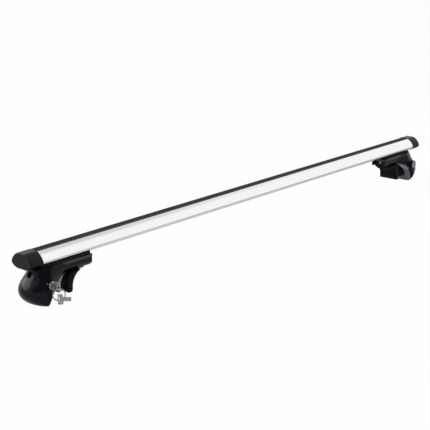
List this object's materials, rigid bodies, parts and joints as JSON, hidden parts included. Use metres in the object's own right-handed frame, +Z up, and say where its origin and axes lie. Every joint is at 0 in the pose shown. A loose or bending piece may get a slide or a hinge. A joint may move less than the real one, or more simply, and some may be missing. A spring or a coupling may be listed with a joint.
{
  "type": "roof rack crossbar",
  "caption": "Aerofoil aluminium roof bar with a rubber top strip and end caps, on lockable moulded feet whose screw-driven claws clamp onto raised roof rails.",
  "frame": {"origin": "middle of the bar's length and width, on the flat top of the rubber strip", "axes": "+X along the bar, +Z up, -Y toward the side with the locks"},
  "size_m": [1.2018, 0.0906, 0.0974],
  "materials": {
    "bar": "satin",
    "rubber": "matte",
    "cap": "satin",
    "housing": "satin",
    "claw": "satin",
    "steel": "zinc plated",
    "lock": "bright",
    "key": "bright nickel"
  },
  "bodies": {
    "bar": {"crossbar": "bar", "top_strip": "rubber", "left_end_cap": "cap", "right_end_cap": "cap"},
    "left_foot": {"left_foot_housing": "housing", "left_bar_gasket": "rubber", "left_slot_plate": "steel", "left_foot_screws": "steel", "left_rail_pad": "rubber", "left_clamp_washer": "steel", "left_lock_barrel": "lock", "left_lock_bezel": "lock"},
    "left_bolt": {"left_clamp_bolt": "steel"},
    "left_claw": {"left_claw": "claw", "left_claw_pad": "rubber", "left_clamp_nut": "steel"},
    "left_lock": {"left_lock_plug": "lock", "left_lock_cam": "steel", "left_cam_screw": "steel"},
    "right_foot": {"right_foot_housing": "housing", "right_bar_gasket": "rubber", "right_slot_plate": "steel", "right_foot_screws": "steel", "right_rail_pad": "rubber", "right_clamp_washer": "steel", "right_lock_barrel": "lock", "right_lock_bezel": "lock"},
    "right_bolt": {"right_clamp_bolt": "steel"},
    "right_claw": {"right_claw": "claw", "right_claw_pad": "rubber", "right_clamp_nut": "steel"},
    "right_lock": {"right_lock_plug": "lock", "right_lock_cam": "steel", "right_cam_screw": "steel"},
    "key": {"key": "key"},
    "key_ring": {"key_ring": "key"},
    "spare_key": {"spare_key": "key"}
  },
  "joints": [
    {"name": "left_foot_slide", "type": "slide", "parent": "bar", "child": "left_foot", "axis": [1, 0, 0], "range_m": [0, 0.12]},
    {"name": "left_bolt_turn", "type": "hinge", "parent": "left_foot", "child": "left_bolt", "pos_m": [-0.55, 0, -0.04023], "axis": [1, 0, 0], "range_deg": [-3600, 3600]},
    {"name": "left_claw_slide", "type": "slide", "parent": "left_foot", "child": "left_claw", "axis": [-1, 0, 0], "range_m": [-0.01, 0.01]},
    {"name": "left_lock_turn", "type": "hinge", "parent": "left_foot", "child": "left_lock", "pos_m": [-0.5635, -0.034, -0.05673], "axis": [0, 1, 0], "range_deg": [0, 90]},
    {"name": "right_foot_slide", "type": "slide", "parent": "bar", "child": "right_foot", "axis": [-1, 0, 0], "range_m": [0, 0.12]},
    {"name": "right_bolt_turn", "type": "hinge", "parent": "right_foot", "child": "right_bolt", "pos_m": [0.55, 0, -0.04023], "axis": [-1, 0, 0], "range_deg": [-3600, 3600]},
    {"name": "right_claw_slide", "type": "slide", "parent": "right_foot", "child": "right_claw", "axis": [1, 0, 0], "range_m": [-0.01, 0.01]},
    {"name": "right_lock_turn", "type": "hinge", "parent": "right_foot", "child": "right_lock", "pos_m": [0.5635, -0.034, -0.05673], "axis": [0, -1, 0], "range_deg": [0, 90]},
    {"name": "key_pull", "type": "slide", "parent": "left_lock", "child": "key", "axis": [0, -1, 0], "range_m": [0, 0.024]},
    {"name": "key_ring_swing", "type": "hinge", "parent": "key", "child": "key_ring", "pos_m": [-0.5635, -0.04902, -0.05903], "axis": [0.788, -0.6157, 0], "range_deg": [-60, 5]},
    {"name": "spare_key_swing", "type": "hinge", "parent": "key_ring", "child": "spare_key", "pos_m": [-0.5635, -0.04902, -0.06933], "axis": [0.6157, 0.788, 0], "range_deg": [-30, 30]}
  ],
  "couplings": [
    {"joint": "left_bolt_turn", "follows": "left_claw_slide", "rad_per_m": 6283},
    {"joint": "right_bolt_turn", "follows": "right_claw_slide", "rad_per_m": 6283}
  ]
}
